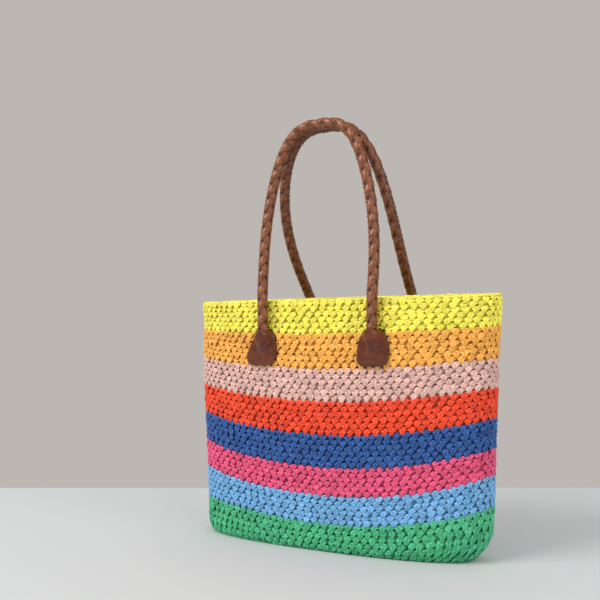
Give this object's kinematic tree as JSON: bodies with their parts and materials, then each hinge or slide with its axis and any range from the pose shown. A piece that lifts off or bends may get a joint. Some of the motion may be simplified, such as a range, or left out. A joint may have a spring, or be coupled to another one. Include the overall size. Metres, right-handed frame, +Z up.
{
  "type": "crochet tote bag",
  "caption": "Oval crocheted tote bag in horizontal colour stripes, with two braided rope handles held by moulded leather tabs.",
  "frame": {"origin": "middle of the base, at the level of the table it stands on", "axes": "+Z up towards the opening, +X to the right of someone facing the front, -Y out of the front"},
  "size_m": [0.3598, 0.1232, 0.458],
  "materials": {
    "green_raffia": "crocheted raffia, matt with a slight straw sheen",
    "sky_blue_raffia": "crocheted raffia, matt with a slight straw sheen",
    "pink_raffia": "crocheted raffia, matt with a slight straw sheen",
    "blue_raffia": "crocheted raffia, matt with a slight straw sheen",
    "red_raffia": "crocheted raffia, matt with a slight straw sheen",
    "blush_raffia": "crocheted raffia, matt with a slight straw sheen",
    "orange_raffia": "crocheted raffia, matt with a slight straw sheen",
    "yellow_raffia": "crocheted raffia, matt with a slight straw sheen",
    "braided_rope": "braided brown leather cord, satin",
    "tab_leather": "smooth moulded brown leather, satin"
  },
  "bodies": {
    "bag": {"green_base_and_stripe": "green_raffia", "sky_blue_stripe": "sky_blue_raffia", "pink_stripe": "pink_raffia", "blue_stripe": "blue_raffia", "red_stripe": "red_raffia", "blush_stripe": "blush_raffia", "orange_stripe": "orange_raffia", "yellow_stripe": "yellow_raffia", "front_left_tab": "tab_leather", "front_right_tab": "tab_leather", "back_left_tab": "tab_leather", "back_right_tab": "tab_leather"},
    "front_handle": {"front_handle": "braided_rope"},
    "back_handle": {"back_handle": "braided_rope"}
  },
  "joints": [
    {"name": "front_handle_swing", "type": "hinge", "parent": "bag", "child": "front_handle", "pos_m": [0, -0.05406, 0.239], "axis": [1, 0, 0], "range_deg": [0, 90]},
    {"name": "back_handle_swing", "type": "hinge", "parent": "bag", "child": "back_handle", "pos_m": [0, 0.05406, 0.239], "axis": [-1, 0, 0], "range_deg": [0, 90]}
  ]
}
